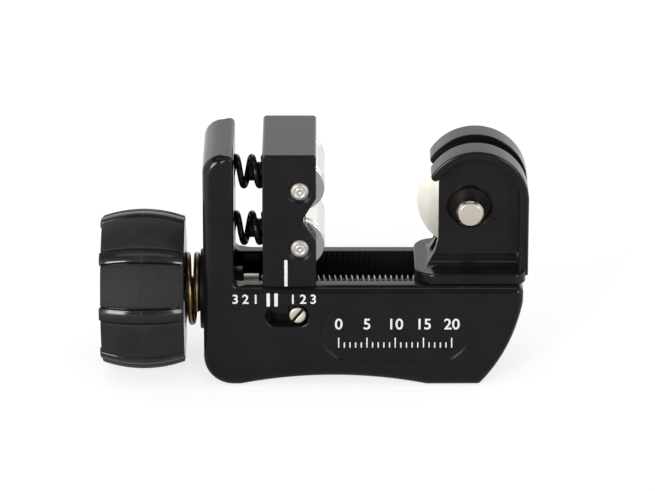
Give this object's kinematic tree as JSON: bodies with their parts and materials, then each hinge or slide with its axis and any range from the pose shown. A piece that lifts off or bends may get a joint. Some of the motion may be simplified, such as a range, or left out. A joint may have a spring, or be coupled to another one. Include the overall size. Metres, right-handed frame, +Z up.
{
  "type": "tube cutter",
  "caption": "Hand tube cutter with a sprung roller carriage, a screw-fed cutting wheel in a hooded carrier and a barrel-shaped grip knob, shown fully open.",
  "frame": {"origin": "middle of the object's length and depth, in the plane of its foot", "axes": "+X along the feed screw from the knob to the cutting wheel, +Z up, -Y towards the marked front"},
  "size_m": [0.0948, 0.036, 0.0546],
  "materials": {
    "black_enamel": "glossy black enamel on a zinc die casting",
    "black_oxide": "black oxide on steel",
    "spring_black": "glossy black coated spring wire",
    "screw_steel": "bronzed steel, machined",
    "brass_wire": "bright drawn brass-coloured wire",
    "knob_plastic": "satin to glossy moulded plastic",
    "grip_rubber": "finely textured soft grip",
    "roller_steel": "ground and polished steel",
    "wheel_steel": "fine satin hardened steel",
    "pin_steel": "turned steel, nickel plated",
    "zinc_fastener": "bright zinc plate"
  },
  "bodies": {
    "frame": {"frame": "black_enamel", "bearing_bush": "black_oxide", "drag_spring": "brass_wire", "upper_spring": "spring_black", "lower_spring": "spring_black"},
    "screw_and_knob": {"feed_screw": "screw_steel", "thrust_washer": "black_oxide", "knob_core": "knob_plastic", "knob_grips": "grip_rubber", "knob_washer": "zinc_fastener", "knob_screw": "zinc_fastener"},
    "wheel_carrier": {"wheel_carrier": "black_enamel", "wheel_pin": "pin_steel", "front_pin_clip": "black_oxide", "rear_pin_clip": "black_oxide"},
    "cutting_wheel": {"cutting_wheel": "wheel_steel"},
    "roller_carriage": {"roller_carriage": "black_enamel", "upper_roller_pin": "pin_steel", "lower_roller_pin": "pin_steel", "stop_screw": "pin_steel", "upper_spring_guide": "black_oxide", "lower_spring_guide": "black_oxide"},
    "upper_roller": {"upper_roller": "roller_steel"},
    "lower_roller": {"lower_roller": "roller_steel"}
  },
  "joints": [
    {"name": "carrier_feed", "type": "slide", "parent": "frame", "child": "wheel_carrier", "axis": [-1, 0, 0], "range_m": [0, 0.02125]},
    {"name": "knob_turn", "type": "hinge", "parent": "frame", "child": "screw_and_knob", "pos_m": [0, 0, 0.01815], "axis": [1, 0, 0], "range_deg": [0, 6120]},
    {"name": "carriage_slide", "type": "slide", "parent": "frame", "child": "roller_carriage", "axis": [-1, 0, 0], "range_m": [0, 0.0041], "stiffness_N_per_m": 3000, "deforming": ["upper_spring", "lower_spring"]},
    {"name": "wheel_spin", "type": "hinge", "parent": "wheel_carrier", "child": "cutting_wheel", "pos_m": [0.03446, 0, 0.0394], "axis": [0, 1, 0], "continuous": true},
    {"name": "upper_roller_spin", "type": "hinge", "parent": "roller_carriage", "child": "upper_roller", "pos_m": [-0.00306, 0, 0.0461], "axis": [0, 1, 0], "continuous": true},
    {"name": "lower_roller_spin", "type": "hinge", "parent": "roller_carriage", "child": "lower_roller", "pos_m": [-0.00306, 0, 0.0327], "axis": [0, 1, 0], "continuous": true}
  ],
  "couplings": [
    {"joint": "knob_turn", "follows": "carrier_feed", "rad_per_m": 5026.5}
  ]
}
